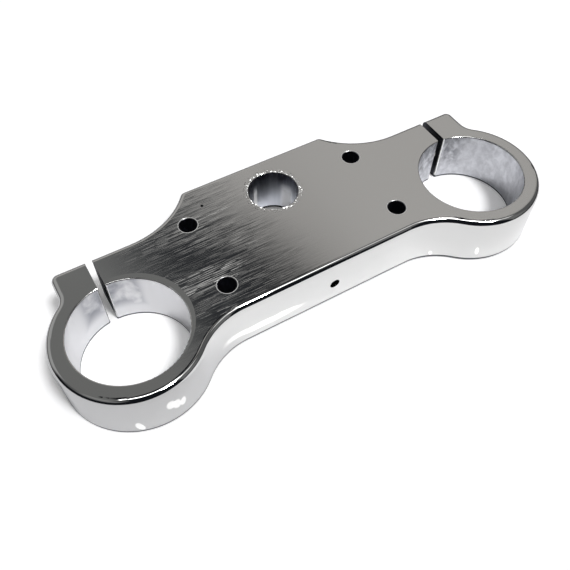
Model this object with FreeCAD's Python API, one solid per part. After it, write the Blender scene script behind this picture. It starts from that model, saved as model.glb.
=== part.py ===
import FreeCAD, Part
import math
import os

from FreeCAD import Vector

# Motorcycle triple clamp: the yoke that holds two fork tubes and the steering stem.
# It is one piece, milled from a thick aluminium plate and polished.
#
# Frame: the origin is on the steering stem's axis, half-way up the plate.
# X runs across the yoke, from one fork tube to the other.
# -Y points forwards, to the fork tubes, and +Y backwards, to the rider. +Z is up.
# All sizes are in millimetres.

# Plate
plate_thickness = 27.0

# Fork tubes: two split rings, ahead of the stem
fork_spacing = 180.0
fork_offset = 38.0
fork_bore_d = 51.0
fork_ring_wall = 8.0

# Steering stem: a plain bore through the boss in the middle
stem_bore_d = 24.0
stem_lead_in = 2.5
boss_back_y = 21.5
boss_back_width = 78.0
boss_corner_top_r = 0.4

# Arms, from the boss to the rings
front_wall_ahead = 14.5
front_blend_r = 33.0
arm_back_y = 4.5
waist_r = 41.0

# Clamping ears, outside the slits
ear_reach = 19.6
ear_corner_top_r = 0.7
ear_blend_r = 8.0
slit_width = 3.4
slit_mouth_r = 1.0

# Handlebar riser holes: four, straight through
riser_hole_d = 8.5
riser_spacing_x = 89.5
riser_spacing_y = 39.0
riser_back_y = 0.5

# Tapped hole in the front wall, drilled a little to one side
front_hole_d = 5.0
front_hole_depth = 16.0
front_hole_x = 2.3
front_hole_z = -1.6

# Pinch bolts: one across each slit at half height, its head sunk in the ear
pinch_y = -5.0
pinch_hole_d = 8.5
pinch_thread_d = 6.8
pinch_thread_depth = 22.0
pinch_head_d = 13.5
pinch_head_depth = 8.5

# Edges
top_edge_r = 2.8
bottom_edge_chamfer = 0.8
bore_rim_r = 0.6
bore_foot_chamfer = 0.4
stem_rim_chamfer = 0.3
small_rim_chamfer = 0.3

# How far a cutting tool reaches past the face that it breaks through
overcut = 5.0

# Two places nearer than this are the same place
near = 0.001

# Places that follow from the sizes above
top_z = plate_thickness / 2
bottom_z = -plate_thickness / 2
fork_x = fork_spacing / 2
fork_bore_r = fork_bore_d / 2
fork_ring_r = fork_bore_r + fork_ring_wall
front_y = -fork_offset - front_wall_ahead
ear_x = fork_x + ear_reach
slit_inner_x = fork_x
slit_outer_x = fork_x + slit_width

# The upright corners: the edge's round, and what it leaves of the corner on the top face
boss_corner_r = top_edge_r + boss_corner_top_r
ear_corner_r = top_edge_r + ear_corner_top_r


def on_circle(centre, radius, towards):
    """The point of a circle that lies in the direction of another point."""
    step = (towards - centre).normalize()
    return centre + step * radius


def arc_between(centre, radius, start, end):
    """The shorter arc from one point of a circle to another."""
    middle = on_circle(centre, radius, (start + end) * 0.5)
    return Part.Arc(start, middle, end).toShape()


def line(start, end):
    return Part.LineSegment(start, end).toShape()


def leg(hypotenuse, other):
    return math.sqrt(hypotenuse ** 2 - other ** 2)


def half_outline():
    """Edges of the plan from the middle of the front to the middle of the back, on +X."""
    ring = Vector(fork_x, -fork_offset, 0)

    # The front wall runs into the ring through a hollow curve that touches both.
    blend_y = front_y - front_blend_r
    blend_dx = leg(fork_ring_r + front_blend_r, -fork_offset - blend_y)
    blend = Vector(fork_x - blend_dx, blend_y, 0)
    wall_end = Vector(blend.x, front_y, 0)
    ring_start = on_circle(ring, fork_ring_r, blend)

    # The ring runs into the ear's flat side through a small hollow curve.
    tuck_x = ear_x + ear_blend_r
    tuck = Vector(tuck_x, -fork_offset + leg(fork_ring_r + ear_blend_r, tuck_x - fork_x), 0)
    ring_end = on_circle(ring, fork_ring_r, tuck)
    ear_foot = Vector(ear_x, tuck.y, 0)
    ring_far = Vector(fork_x + fork_ring_r, -fork_offset, 0)

    # The ear's corner is round, and its back is in line with the back of the arm.
    corner = Vector(ear_x - ear_corner_r, arm_back_y - ear_corner_r, 0)
    ear_top = Vector(ear_x, corner.y, 0)
    ear_back = Vector(corner.x, arm_back_y, 0)

    # A wide hollow curve leaves the arm's back and climbs to the boss.
    boss_x = boss_back_width / 2
    rise = boss_back_y - arm_back_y
    waist = Vector(boss_x + leg(waist_r, waist_r - rise), arm_back_y + waist_r, 0)
    arm_end = Vector(waist.x, arm_back_y, 0)

    # The boss's corner is round too.
    knuckle_y = boss_back_y - boss_corner_r
    knuckle_dx = leg(waist_r + boss_corner_r, waist.y - knuckle_y)
    knuckle = Vector(waist.x - knuckle_dx, knuckle_y, 0)
    waist_end = on_circle(waist, waist_r, knuckle)
    boss_back = Vector(knuckle.x, boss_back_y, 0)

    return [
        line(Vector(0, front_y, 0), wall_end),
        arc_between(blend, front_blend_r, wall_end, ring_start),
        Part.Arc(ring_start, ring_far, ring_end).toShape(),
        arc_between(tuck, ear_blend_r, ring_end, ear_foot),
        line(ear_foot, ear_top),
        arc_between(corner, ear_corner_r, ear_top, ear_back),
        line(ear_back, arm_end),
        arc_between(waist, waist_r, arm_end, waist_end),
        arc_between(knuckle, boss_corner_r, waist_end, boss_back),
        line(boss_back, Vector(0, boss_back_y, 0)),
    ]


def plate():
    """The yoke's outline, raised to its thickness, with its upper edge rounded."""
    middle = line(Vector(0, boss_back_y, 0), Vector(0, front_y, 0))
    half = Part.Face(Part.Wire(half_outline() + [middle]))
    half.translate(Vector(0, 0, bottom_z))
    right = half.extrude(Vector(0, 0, plate_thickness))
    left = right.mirror(Vector(0, 0, 0), Vector(1, 0, 0))
    body = right.fuse(left).removeSplitter().Solids[0]
    body = body.makeFillet(top_edge_r, edges_at(body, top_z))
    return body.makeChamfer(bottom_edge_chamfer, edges_at(body, bottom_z))


def edges_at(body, height):
    """The edges that lie wholly in the level plane at a height."""
    flat = []
    for edge in body.Edges:
        box = edge.BoundBox
        if abs(box.ZMin - height) < near and abs(box.ZMax - height) < near:
            flat.append(edge)
    return flat


def rims(body, places, radius, height):
    """The round edges of a given radius and height about any of the given axes."""
    found = []
    for edge in edges_at(body, height):
        if not isinstance(edge.Curve, Part.Circle) or abs(edge.Curve.Radius - radius) > near:
            continue
        centre = edge.Curve.Center
        if any(math.hypot(centre.x - x, centre.y - y) < near for x, y in places):
            found.append(edge)
    return found


def upright_hole(x, y, radius):
    return Part.makeCylinder(radius, plate_thickness + 2 * overcut, Vector(x, y, bottom_z - overcut))


def bore_through(body, places, radius):
    return body.cut([upright_hole(x, y, radius) for x, y in places])


def slit():
    """The gap across one ring, on +X, with its corners at the bore rounded."""
    ring = Vector(fork_x, -fork_offset, 0)
    back_y = arm_back_y + overcut
    sides = []
    for wall_x, outward in ((slit_inner_x, -1), (slit_outer_x, 1)):
        corner_x = wall_x + outward * slit_mouth_r
        corner_y = ring.y + leg(fork_bore_r + slit_mouth_r, corner_x - fork_x)
        corner = Vector(corner_x, corner_y, 0)
        mouth = on_circle(ring, fork_bore_r, corner)
        wall_start = Vector(wall_x, corner_y, 0)
        sides.append((mouth, arc_between(corner, slit_mouth_r, mouth, wall_start), wall_start))
    inner, outer = sides
    inner_back = Vector(slit_inner_x, back_y, 0)
    outer_back = Vector(slit_outer_x, back_y, 0)
    outline = [
        inner[1],
        line(inner[2], inner_back),
        line(inner_back, outer_back),
        line(outer_back, outer[2]),
        outer[1],
        line(outer[0], ring),
        line(ring, inner[0]),
    ]
    tool = Part.Face(Part.Wire(outline)).extrude(Vector(0, 0, plate_thickness + 2 * overcut))
    tool.translate(Vector(0, 0, bottom_z - overcut))
    return tool


def pinch_bolt_cuts():
    """The holes for one pinch bolt, on +X: thread in the arm, shank and head in the ear."""
    outward = Vector(1, 0, 0)
    thread = Part.makeCylinder(
        pinch_thread_d / 2,
        pinch_thread_depth + slit_width,
        Vector(slit_inner_x - pinch_thread_depth, pinch_y, 0),
        outward,
    )
    shank = Part.makeCylinder(
        pinch_hole_d / 2,
        ear_reach,
        Vector(slit_outer_x - slit_width / 2, pinch_y, 0),
        outward,
    )
    head = Part.makeCylinder(
        pinch_head_d / 2,
        pinch_head_depth + overcut,
        Vector(ear_x - pinch_head_depth, pinch_y, 0),
        outward,
    )
    return [thread, shank, head]


def both_sides(tools):
    """The given tools and their mirror images."""
    return tools + [tool.mirror(Vector(0, 0, 0), Vector(1, 0, 0)) for tool in tools]


def triple_clamp():
    forks = [(side * fork_x, -fork_offset) for side in (-1, 1)]
    riser_front_y = riser_back_y - riser_spacing_y
    risers = [
        (side * riser_spacing_x / 2, y)
        for side in (-1, 1)
        for y in (riser_front_y, riser_back_y)
    ]
    stem = [(0, 0)]
    stem_r = stem_bore_d / 2
    riser_r = riser_hole_d / 2

    body = plate()
    body = bore_through(body, forks, fork_bore_r)
    body = bore_through(body, stem, stem_r)
    body = bore_through(body, risers, riser_r)

    # Polishing has rounded the fork bores' upper rims. The other rims only lost their burr.
    body = body.makeFillet(bore_rim_r, rims(body, forks, fork_bore_r, top_z))
    body = body.makeChamfer(bore_foot_chamfer, rims(body, forks, fork_bore_r, bottom_z))
    body = body.makeChamfer(stem_rim_chamfer, rims(body, stem, stem_r, top_z))
    body = body.makeChamfer(stem_lead_in, rims(body, stem, stem_r, bottom_z))
    body = body.makeChamfer(small_rim_chamfer, rims(body, risers, riser_r, top_z))
    body = body.makeChamfer(small_rim_chamfer, rims(body, risers, riser_r, bottom_z))

    # The slits and the pinch bolts' holes come last, through the finished edges.
    body = body.cut(both_sides([slit()] + pinch_bolt_cuts()))
    front_hole = Part.makeCylinder(
        front_hole_d / 2,
        front_hole_depth + overcut,
        Vector(front_hole_x, front_y - overcut, front_hole_z),
        Vector(0, 1, 0),
    )
    return body.cut(front_hole)


part = triple_clamp()
solid = part.Solids[0]
print("solids", len(part.Solids), "valid", solid.isValid(), "volume", round(solid.Volume, 1))
print("box", solid.BoundBox)
os.makedirs("parts", exist_ok=True)
solid.exportStep("parts/triple_clamp.step")
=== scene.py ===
import math

import bmesh
import bpy
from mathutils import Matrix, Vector

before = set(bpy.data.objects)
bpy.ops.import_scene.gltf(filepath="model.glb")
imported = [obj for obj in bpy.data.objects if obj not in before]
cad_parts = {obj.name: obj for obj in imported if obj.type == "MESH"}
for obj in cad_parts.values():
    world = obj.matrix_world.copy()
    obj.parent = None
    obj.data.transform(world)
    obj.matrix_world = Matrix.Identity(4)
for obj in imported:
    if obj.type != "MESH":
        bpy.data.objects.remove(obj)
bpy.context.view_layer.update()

# The scene is in metres. The sizes here are in millimetres, and the angles in degrees.
MM = 0.001

# Sizes of the clamp that the finishes follow
TOP = 13.5
BOTTOM = -13.5
FORK_X = 90.0
FORK_Y = -38.0
FORK_BORE_R = 25.5
STEM_BORE_R = 12.0
RISER_X = 44.75
RISER_MIDDLE_Y = -19.0
RISER_HALF_Y = 19.5
RISER_R = 4.25
SLIT_WIDTH = 3.4


def linear(hex_colour):
    """An sRGB hex colour as the linear one that a socket takes."""
    channels = [int(hex_colour[i:i + 2], 16) / 255 for i in (1, 3, 5)]
    return [c / 12.92 if c <= 0.04045 else ((c + 0.055) / 1.055) ** 2.4 for c in channels] + [1.0]


def empty_tree(owner):
    owner.use_nodes = True
    owner.node_tree.nodes.clear()
    return owner.node_tree


def add(tree, kind, *inputs, out=0, **settings):
    """Adds one node and gives one of its outputs, or all of them where out is None.

    Inputs are given in order, or as (name, value) pairs, as values or as outputs to link.
    None leaves an input as it is.
    """
    node = tree.nodes.new("ShaderNode" + kind)
    for name, value in settings.items():
        setattr(node, name, value)
    for place, item in enumerate(inputs):
        name, value = item if isinstance(item, tuple) and len(item) == 2 else (place, item)
        if isinstance(value, bpy.types.NodeSocket):
            tree.links.new(value, node.inputs[name])
        elif value is not None:
            node.inputs[name].default_value = value
    return node.outputs if out is None else node.outputs[out]


# A Mix node takes two numbers at its inputs 2 and 3, or two colours at 6 and 7. These are its
# settings for colours.
COLOURS = {"data_type": "RGBA", "out": 2}


def product(tree, *values):
    """All the values multiplied together."""
    total = values[0]
    for value in values[1:]:
        total = add(tree, "Math", total, value, operation="MULTIPLY")
    return total


def where(tree, *limits):
    """A mask that is 1 where every limit is kept.

    A limit is another mask, or (value, none, full): it is 0 where the value is at none or past
    it, 1 where it is at full or past it, and fades smoothly in between.
    """
    masks = []
    for limit in limits:
        if isinstance(limit, tuple):
            limit = add(tree, "MapRange", *limit, interpolation_type="SMOOTHSTEP")
        masks.append(limit)
    return product(tree, *masks)


# Camera: the photograph's angle, height and lens
camera_data = bpy.data.cameras.new("camera")
camera_data.lens = 41.29
camera_data.sensor_width = 36.0
camera_data.clip_start = 0.01
camera_data.clip_end = 100.0
camera = bpy.data.objects.new("camera", camera_data)
camera.location = (-107.23 * MM, -191.86 * MM, 240.62 * MM)
camera.rotation_euler = [math.radians(angle) for angle in (35.8057, -0.3108, -30.3398)]
bpy.context.scene.collection.objects.link(camera)
bpy.context.scene.camera = camera


def studio():
    """Soft patches of light on the walls and ceiling of a dark room, and a small key lamp.

    Bearings go round the clamp: 0 is behind it, 90 to its right, -90 to its left. Elevations go
    from 0, level, to 90, overhead. The polished metal mirrors the room, and the camera sees white.
    """
    world = bpy.data.worlds.new("studio")
    bpy.context.scene.world = world
    tree = empty_tree(world)
    toward = add(tree, "TexCoord", out="Generated")

    def bearing_of(direction):
        to_right, to_back, _ = add(tree, "SeparateXYZ", direction, out=None)
        turn = add(tree, "Math", to_right, to_back, operation="ARCTAN2")
        return add(tree, "Math", turn, operation="DEGREES")

    bearing = bearing_of(toward)
    rise = add(tree, "Math", add(tree, "SeparateXYZ", toward, out="Z"), operation="ARCSINE")
    elevation = add(tree, "Math", rise, operation="DEGREES")

    # The bearing again, counted from straight in front of the clamp, towards its left
    opposite = add(tree, "VectorMath", toward, ("Scale", -1.0), operation="SCALE")
    from_front = bearing_of(opposite)

    # A leaning edge stands at its bearing at this elevation, and further round above it.
    lean_pivot = 50.5

    def patch(start, end, low, high, around=bearing, start_lean=0.0, end_lean=0.0):
        """A patch between two bearings and two elevations.

        Each edge is (degrees, fade): it fades over so many degrees to either side. A lean is how
        many degrees of bearing an edge goes round for each degree of elevation.
        """
        def leaning(lean):
            if not lean:
                return around
            above = add(tree, "Math", elevation, lean_pivot, operation="SUBTRACT")
            return add(tree, "Math", around, product(tree, above, lean), operation="SUBTRACT")

        rising = ((leaning(start_lean), start), (elevation, low))
        falling = ((leaning(end_lean), end), (elevation, high))
        return where(
            tree,
            *((angle, at - fade, at + fade) for angle, (at, fade) in rising),
            *((angle, at + fade, at - fade) for angle, (at, fade) in falling),
        )

    def lamp(at_bearing, at_elevation, radius, fade):
        """A round lamp. Its radius is the angle that it takes up."""
        around, up = math.radians(at_bearing), math.radians(at_elevation)
        level = math.cos(up)
        middle = Vector((math.sin(around) * level, math.cos(around) * level, math.sin(up)))
        near = add(tree, "VectorMath", toward, middle, operation="DOT_PRODUCT", out="Value")
        rim, core = math.radians(radius + fade), math.radians(radius - fade)
        return where(tree, (near, math.cos(rim), math.cos(core)))

    right_wall = patch((30, 11), (79, 7), (18, 5), (75, 5), start_lean=2.2)
    beside_right_wall = add(tree, "Math", 1.0, right_wall, operation="SUBTRACT")
    back_wall = where(tree, patch((-60, 8), (31, 8), (18, 3), (46.2, 3)), beside_right_wall)

    # Each light, how strong it is, and its tint
    neutral, warm, creamy, cool = (1, 1, 1), (1.0, 0.97, 0.94), (1.0, 1.0, 0.98), (0.92, 0.98, 1.08)
    lights = (
        # The key lamp in front, and a strip and two small patches that the rounded edges catch
        (lamp(157, 64, radius=6, fade=1), 62.0, neutral),
        (patch((-62, 14), (66, 14), (70, 2), (80, 2), around=from_front), 4.0, neutral),
        (patch((106, 4), (128, 4), (52, 3), (70, 3)), 0.6, neutral),
        (patch((126, 4), (150, 4), (59, 2), (67, 2)), 2.2, neutral),
        # What the top mirrors: the right wall, and the back wall down to its foot
        (right_wall, 0.37, warm),
        (back_wall, 0.31, neutral),
        (patch((-60, 8), (31, 8), (3, 3), (18, 3)), 0.2, neutral),
        # Dimmer patches that the brushed half, the bores and the walls mirror
        (patch((38, 8), (95, 8), (33, 4), (56, 4), around=from_front), 0.09, neutral),
        (patch((-120, 6), (9, 6), (46, 4), (75, 4), end_lean=0.85), 0.14, creamy),
        (patch((-135, 8), (-60, 8), (27, 4), (46, 4)), 0.085, neutral),
        (patch((4.6, 6), (30, 6), (46, 5), (66, 5), start_lean=1.2), 0.015, cool),
        (patch((79, 3), (149, 3), (6, 5), (60, 5)), 0.085, neutral),
        (patch((122, 3), (149, 3), (10, 5), (60, 5)), 0.05, neutral),
    )
    room = (0.006, 0.007, 0.009)
    for light, strength, tint in lights:
        colour = [strength * channel for channel in tint]
        room = add(tree, "VectorMath", light, colour, room, operation="MULTIPLY_ADD")
    mirrored = add(tree, "Background", ("Color", room), ("Strength", 1.0))
    white = add(tree, "Background", ("Color", (1, 1, 1, 1)), ("Strength", 1.0))
    seen = add(tree, "LightPath", out="Is Camera Ray")
    add(tree, "OutputWorld", add(tree, "MixShader", seen, mirrored, white), out=None)


def paper_floor():
    """White paper, with painted spots of light that the polished walls mirror."""
    half_size = 3000.0
    shape = bmesh.new()
    bmesh.ops.create_grid(shape, x_segments=1, y_segments=1, size=half_size * MM)
    bmesh.ops.translate(shape, verts=shape.verts, vec=(0, 0, BOTTOM * MM))
    mesh = bpy.data.meshes.new("floor")
    shape.to_mesh(mesh)
    shape.free()
    floor = bpy.data.objects.new("floor", mesh)
    bpy.context.scene.collection.objects.link(floor)

    material = bpy.data.materials.new("white_paper")
    tree = empty_tree(material)
    seen = add(tree, "LightPath", out="Is Camera Ray")
    place = add(tree, "VectorMath", add(tree, "TexCoord", out="Object"), ("Scale", 1 / MM),
                operation="SCALE")

    # The paper that the metal mirrors is a little greyer to the left, where the light falls off,
    # and the room is dark past its edge.
    falloff = where(tree, (add(tree, "SeparateXYZ", place, out="X"), -60.0, -36.0))
    mirrored = add(tree, "Mix", falloff, (6, linear("#CFCFD2")), (7, linear("#F0F0F2")), **COLOURS)
    from_middle = add(tree, "VectorMath", place, operation="LENGTH", out="Value")
    past_edge = where(tree, (from_middle, 240.0, 340.0))
    mirrored = add(tree, "Mix", past_edge, (6, mirrored), (7, linear("#26272A")), **COLOURS)
    colour = add(tree, "Mix", seen, (6, mirrored), (7, linear("#FCFCFD")), **COLOURS)

    # Each spot's middle, and half its length along X and along Y
    spots = (
        (-85.8, -78.5, 2.8, 1.6),
        (-82.5, -77.0, 2.6, 1.7),
        (-79.0, -75.3, 2.2, 1.2),
        (-104.0, -71.5, 2.0, 1.2),
        (-102.4, -71.2, 1.4, 0.9),
        (75.0, -74.0, 1.2, 2.2),
        (57.0, -58.2, 0.7, 1.2),
        (-31.0, -57.0, 18.0, 1.3),
    )
    # A spot fades between these parts of its half lengths.
    spot_rim, spot_core = 1.25, 0.8
    # The spots are painted light: they glow only for the rays that the metal mirrors.
    painted_spots = 0.0
    for x, y, half_x, half_y in spots:
        away = add(tree, "VectorMath", place, (x, y, BOTTOM), operation="SUBTRACT")
        away = add(tree, "VectorMath", away, (1 / half_x, 1 / half_y, 0.0), operation="MULTIPLY")
        away = add(tree, "VectorMath", away, operation="LENGTH", out="Value")
        spot = where(tree, (away, spot_rim, spot_core))
        painted_spots = add(tree, "Math", painted_spots, spot, operation="ADD")
    painted_spot_glow, paper_glow = 0.5, 0.17
    glow = add(tree, "Mix", seen, None, product(tree, painted_spots, painted_spot_glow), paper_glow)
    light = add(tree, "Emission", (1, 1, 1, 1), glow)
    paper = add(tree, "BsdfDiffuse", colour)
    add(tree, "OutputMaterial", add(tree, "AddShader", paper, light), out=None)
    mesh.materials.append(material)


def clamp_aluminium():
    """Aluminium plate, milled, bored and drilled, then line-brushed on top and polished outside.

    The polished walls mirror the room sharply. Brushing streaks the left half of the top along X
    and leaves the right half satin. The bores stay dull, with painted shade and light in their
    colour.
    """
    material = bpy.data.materials.new("milled_and_polished_aluminium")
    tree = empty_tree(material)

    place = add(tree, "VectorMath", add(tree, "TexCoord", out="Object"), ("Scale", 1 / MM),
                operation="SCALE")
    x, y, z = add(tree, "SeparateXYZ", place, out=None)
    side = add(tree, "Math", x, operation="ABSOLUTE")

    def distance(centre_x, centre_y, along_x=x, along_y=y, squeeze=1.0):
        """How far a place is from an upright axis, with lengths along X squeezed."""
        flat = add(tree, "CombineXYZ", product(tree, along_x, squeeze), along_y)
        centre = (centre_x * squeeze, centre_y, 0.0)
        return add(tree, "VectorMath", flat, centre, operation="DISTANCE", out="Value")

    def blotches(per_mm, detail=0.0, distortion=0.0, out=0):
        """A cloudy pattern, with so many blotches in each millimetre along X, Y and Z."""
        spread = add(tree, "Mapping", place, ("Scale", per_mm))
        return add(tree, "TexNoise", ("Vector", spread), ("Scale", 1.0), ("Detail", detail),
                   ("Distortion", distortion), out=out)

    # The clamp's surfaces. Each mask ends within a few tenths of a millimetre of its edge.
    fork_r = distance(FORK_X, FORK_Y, along_x=side)
    stem_r = distance(0.0, 0.0)
    riser_y = add(tree, "Math", y, RISER_MIDDLE_Y, operation="SUBTRACT")
    riser_y = add(tree, "Math", riser_y, operation="ABSOLUTE")
    riser_r = distance(RISER_X, RISER_HALF_Y, along_x=side, along_y=riser_y)
    top = where(tree, (z, TOP - 0.06, TOP - 0.02))
    below_top = where(tree, (z, TOP - 0.02, TOP - 0.06))
    under = where(tree, (z, BOTTOM + 0.06, BOTTOM + 0.02))
    fork_wall = where(tree, (fork_r, FORK_BORE_R + 0.12, FORK_BORE_R + 0.04), below_top)
    stem_wall = where(tree, (stem_r, STEM_BORE_R + 2.6, STEM_BORE_R + 2.5),
                      (z, TOP - 0.2, TOP - 0.35))
    # Painted shade: the slit's walls are painted dark grey further on, for the shade in the narrow
    # gap.
    slit_wall_shade = where(
        tree,
        (side, FORK_X - 0.1, FORK_X - 0.05),
        (side, FORK_X + SLIT_WIDTH + 0.1, FORK_X + SLIT_WIDTH + 0.05),
        (y, FORK_Y + FORK_BORE_R - 0.7, FORK_Y + FORK_BORE_R + 0.3),
        (fork_r, FORK_BORE_R + 0.3, FORK_BORE_R + 1.5),
        below_top,
    )
    countersink = where(tree, (riser_r, RISER_R + 0.6, RISER_R + 0.45),
                        (riser_r, RISER_R + 0.04, RISER_R + 0.08))
    drilled = where(tree, (riser_r, RISER_R + 0.12, RISER_R + 0.06), below_top)

    # Painted shade: the last millimetre or so above the lower edges is painted dark, for the
    # shadow where the part meets the paper
    outside = add(tree, "Math", 1.0, fork_wall, operation="SUBTRACT")
    wall_foot_shade = where(tree, (z, BOTTOM + 1.65, BOTTOM + 1.45), outside)
    bore_foot_shade = where(tree, (z, BOTTOM + 1.2, BOTTOM + 1.0))
    foot_shade = add(tree, "Math", wall_foot_shade, bore_foot_shade, operation="MAXIMUM")

    # A fingertip-wide roll that hand polishing gave the left bore's rim, towards the stem. It
    # tilts by so much for each millimetre from the bore's axis.
    roll_tilt = 0.0045
    roll_x, roll_y, roll_r = 1.4 - FORK_X, 1.1 + FORK_Y, 26.6
    roll = where(tree, (distance(roll_x, roll_y), roll_r + 0.3, roll_r), top, (x, -89.0, -84.0))
    to_bore_x = add(tree, "Math", -FORK_X, x, operation="SUBTRACT")
    to_bore_y = add(tree, "Math", FORK_Y, y, operation="SUBTRACT")
    rolled = add(tree, "VectorMath", add(tree, "CombineXYZ", to_bore_x, to_bore_y),
                 ("Scale", product(tree, roll, roll_tilt)), operation="SCALE")

    # Grooves of the brushing, along X. Each is a straight dash that starts and ends somewhere.
    # The real ones are about 0.05 mm wide. They are drawn 0.2 to 0.3 mm wide, so that they show.
    def dashes(width, length):
        """Rows of dashes: how strong each one is, and a mask that fades its ends."""
        longest_shift = 9.0
        row = add(tree, "Math", product(tree, y, 1 / width), operation="FLOOR")
        shift = add(tree, "TexWhiteNoise", ("W", row), noise_dimensions="1D")
        along = add(tree, "Math", product(tree, x, 1 / length), product(tree, shift, longest_shift),
                    operation="ADD")
        dash = add(tree, "CombineXYZ", row, add(tree, "Math", along, operation="FLOOR"))
        strength = add(tree, "TexWhiteNoise", ("Vector", dash), noise_dimensions="2D")
        part = add(tree, "Math", along, operation="FRACT")
        from_middle = add(tree, "Math", part, 0.5, operation="SUBTRACT")
        from_middle = add(tree, "Math", from_middle, operation="ABSOLUTE")
        return strength, where(tree, (from_middle, 0.5, 0.3))

    not_rolled = add(tree, "Math", 1.0, roll, operation="SUBTRACT")
    brushed = where(tree, top, (x, -92.0, -60.0), (x, 14.0, -30.0), not_rolled)

    # They are half as deep in some patches, which are about 22 mm long and 10 mm wide.
    patches = blotches((0.045, 0.10, 1.0), detail=1.0)
    depth = add(tree, "MapRange", patches, 0.38, 0.64, 0.5, 1.0)
    long_strength, long_ends = dashes(0.19, 17.0)
    short_strength, short_ends = dashes(0.26, 7.0)

    # A groove's wall leans to one side or the other, by up to half of this.
    groove_tilt = 0.055
    long_lean = add(tree, "Math", long_strength, 0.5, operation="SUBTRACT")
    short_lean = add(tree, "Math", short_strength, 0.5, operation="SUBTRACT")
    grooves = add(tree, "Math", product(tree, long_lean, long_ends),
                  product(tree, short_lean, short_ends), operation="ADD")
    grooved = add(tree, "CombineXYZ", 0.0, product(tree, grooves, groove_tilt, depth, brushed))

    # Some grooves are deeper and dull. They lie in two heavier groups and thinly elsewhere, and
    # only half as strong in a calm place between the groups.
    group_share, thin_share, calm_strength, long_strength_share = 0.5, 0.34, 0.5, 0.72
    front_group = where(tree, (distance(-51.875, -31.5, squeeze=0.32), 7.5, 3.0))
    back_group = where(tree, (distance(-35.0, 0.0, squeeze=0.3), 6.5, 2.0))
    lighter_group = product(tree, back_group, 0.7)
    groups = add(tree, "Math", front_group, lighter_group, operation="MAXIMUM")
    share = add(tree, "Math", product(tree, groups, group_share), product(tree, depth, thin_share),
                operation="ADD")
    past_calm = where(tree, (distance(-60.0, -16.0, squeeze=0.5), 4.0, 9.0))
    calmed = add(tree, "Mix", past_calm, None, calm_strength, 1.0)
    dull_long = where(tree, (long_strength, 0.3, 1.0), long_ends)
    dull_long = product(tree, dull_long, long_strength_share)
    dull_short = where(tree, (short_strength, 0.84, 0.94), short_ends)
    dull = add(tree, "Math", dull_long, dull_short, operation="MAXIMUM")
    dull = product(tree, dull, share, brushed, calmed)

    # A burr stands on the stem bore's rim and sparkles, and grains of it under a millimetre wide
    # lie around.
    rim_burr = where(
        tree,
        (stem_r, STEM_BORE_R + 1.2, STEM_BORE_R + 0.6),
        (stem_r, STEM_BORE_R, STEM_BORE_R + 0.05),
        (z, TOP - 0.35, TOP - 0.25),
        (blotches((0.5, 0.5, 0.5), detail=1.0), 0.32, 0.44),
    )
    grains = where(tree, (stem_r, STEM_BORE_R + 2.8, STEM_BORE_R + 1.4),
                   (blotches((1.1, 1.1, 1.1)), 0.58, 0.64), top)
    burr = add(tree, "Math", rim_burr, grains, operation="MAXIMUM")

    # The middle of the pattern's colour is 0.5 on each axis. More than that along Y tips the
    # grains forwards.
    even, forwards = (0.5, 0.5, 0.5), (0.5, 0.6, 0.5)
    burr_tilt = 2.0
    burred = add(tree, "VectorMath", blotches((1.3, 1.3, 1.3), detail=2.0, out="Color"), forwards,
                 operation="SUBTRACT")
    burred = add(tree, "VectorMath", burred, ("Scale", product(tree, burr, burr_tilt)),
                 operation="SCALE")

    pit_x, pit_y, pit_r = -34.0, 8.0, 0.6
    pit = where(tree, (distance(pit_x, pit_y), pit_r + 0.25, pit_r), top)

    # The outer walls are polished by hand, so their reflections waver a little, in waves about
    # 9 mm wide and 20 mm high.
    waver_tilt = 0.05
    waver = add(tree, "VectorMath", blotches((0.11, 0.11, 0.05), detail=2.0, out="Color"), even,
                operation="SUBTRACT")
    waver = add(tree, "VectorMath", waver, ("Scale", product(tree, below_top, waver_tilt)),
                operation="SCALE")

    normal = add(tree, "NewGeometry", out="Normal")
    for tilt in (grooved, rolled, waver, burred):
        normal = add(tree, "VectorMath", normal, tilt, operation="ADD")
    normal = add(tree, "VectorMath", normal, operation="NORMALIZE")

    # The fork bores are bored and left dull, with smears 8 to 10 mm across and a mottle of 3 mm
    # where tubes have sat. Their colour is painted lighter low down and on their outer sides, and
    # the left one's on both sides: painted light for the lit paper that these walls mirror.
    smear = blotches((0.12, 0.12, 0.10), detail=5.0, distortion=0.25)
    smear = add(tree, "MapRange", smear, 0.36, 0.66)
    mottle = blotches((0.35, 0.35, 0.28), detail=4.0, distortion=0.4)
    mottle = add(tree, "MapRange", mottle, 0.36, 0.66)
    right_half = where(tree, (x, -1.0, 1.0))
    left_half = where(tree, (x, 1.0, -1.0))
    beyond_axis = add(tree, "Math", side, FORK_X, operation="SUBTRACT")
    from_axis = add(tree, "Math", beyond_axis, operation="ABSOLUTE")
    painted_light = where(tree, (z, 2.0, -8.0))
    for also_painted_light in (where(tree, (beyond_axis, 9.0, 16.0)),
                      where(tree, left_half, (from_axis, 9.0, 16.0))):
        painted_light = add(tree, "Math", painted_light, also_painted_light, operation="MAXIMUM")
    smear_and_painted_light = add(tree, "Math", smear, painted_light, operation="MAXIMUM")
    left_bore = add(tree, "Mix", smear_and_painted_light, (6, linear("#B4B6BC")), (7, linear("#FFFFFF")), **COLOURS)
    right_bore = add(tree, "Mix", painted_light, (6, linear("#98999E")), (7, linear("#C8C9CD")), **COLOURS)
    right_bore = add(tree, "Mix", mottle, (6, right_bore), (7, linear("#E0E1E5")), **COLOURS)
    bored = add(tree, "Mix", right_half, (6, left_bore), (7, right_bore), **COLOURS)
    bored_roughness = add(tree, "MapRange", smear, ("To Min", 0.42), ("To Max", 0.3))
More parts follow.
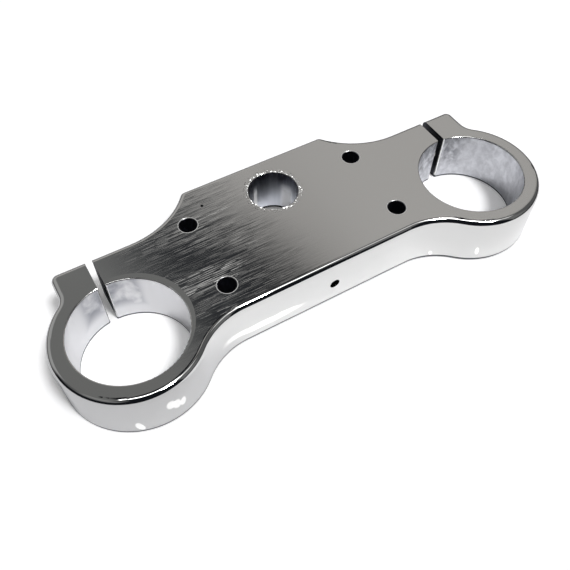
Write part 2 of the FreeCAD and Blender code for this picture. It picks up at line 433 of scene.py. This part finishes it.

    # The stem bore's colour is painted dark towards the top and lighter lower down, with upright
    # streaks 3 mm wide: painted shade for the dark that it mirrors up there. Two white strips on
    # its back are painted highlights, and its foot with the wide chamfer is painted black: painted
    # shade where it meets the paper.
    streak_share = 0.5
    streak = add(tree, "Math", blotches((0.3, 0.3, 0.04), detail=2.0), 0.5, operation="SUBTRACT")
    painted_light_low = add(tree, "Math", where(tree, (z, 13.0, -8.0)), product(tree, streak, streak_share),
                operation="ADD")
    left_painted_highlight = where(tree, (x, -5.7, -4.6), (x, -2.2, -3.4), (z, 9.0, 2.0))
    right_painted_highlight = where(tree, (x, 8.2, 10.2), (x, 11.95, 11.4), (z, 8.0, 0.0))
    painted_highlights = add(tree, "Math", left_painted_highlight, right_painted_highlight, operation="MAXIMUM")
    painted_highlights = where(tree, painted_highlights, (y, -2.0, 2.0))
    stem_foot_shade = where(tree, (z, BOTTOM + 3.8, BOTTOM + 3.6))
    stem_bore_shade_and_highlights = add(tree, "Mix", painted_light_low, (6, linear("#3A3B44")), (7, linear("#DEE1E7")), **COLOURS)
    stem_bore_shade_and_highlights = add(tree, "Mix", painted_highlights, (6, stem_bore_shade_and_highlights), (7, linear("#FFFFFF")), **COLOURS)
    stem_bore_shade_and_highlights = add(tree, "Mix", stem_foot_shade, (6, stem_bore_shade_and_highlights), (7, linear("#0B0B0D")), **COLOURS)

    # All of it is bare metal, but the painted highlights are mostly not metallic, so they show
    # pale.
    bare, highlight_metallic = 1.0, 0.3
    metallic = add(tree, "Mix", product(tree, stem_wall, painted_highlights), None, bare, highlight_metallic)

    # The polished walls, and the top with its brushed left half, satin right half and dull grooves
    polished, brushed_sheen, satin, dull_groove = 0.03, 0.09, 0.24, 0.66
    top_roughness = add(tree, "Mix", where(tree, (x, -15.0, 25.0)), None, brushed_sheen, satin)
    top_roughness = add(tree, "Mix", dull, None, top_roughness, dull_groove)
    roughness = add(tree, "Mix", top, None, polished, top_roughness)
    colour = linear("#EFEFED")

    # Over them, one after the other: each place, its colour and its roughness
    finishes = (
        (fork_wall, bored, bored_roughness),
        (foot_shade, linear("#44494E"), None),
        (stem_wall, stem_bore_shade_and_highlights, 0.42),
        (burr, None, 0.3),
        (pit, linear("#15161A"), None),
        (drilled, linear("#8A8C96"), 0.35),
        (countersink, None, 0.45),
        (slit_wall_shade, linear("#4A4C52"), 0.45),
        (under, linear("#D8D8DA"), 0.3),
    )
    for surface, its_colour, its_roughness in finishes:
        if its_colour is not None:
            colour = add(tree, "Mix", surface, (6, colour), (7, its_colour), **COLOURS)
        if its_roughness is not None:
            roughness = add(tree, "Mix", surface, None, roughness, its_roughness)

    across_grooves = add(tree, "CombineXYZ", 0.0, 1.0, 0.0)
    shader = add(tree, "BsdfPrincipled", ("Base Color", colour), ("Metallic", metallic),
                 ("Roughness", roughness), ("Anisotropic", 0.6), ("Normal", normal),
                 ("Tangent", across_grooves))
    add(tree, "OutputMaterial", shader, out=None)
    return material


studio()
paper_floor()
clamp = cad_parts["triple_clamp"]
clamp.data.materials[0] = clamp_aluminium()

bpy.context.scene.view_settings.view_transform = "Standard"
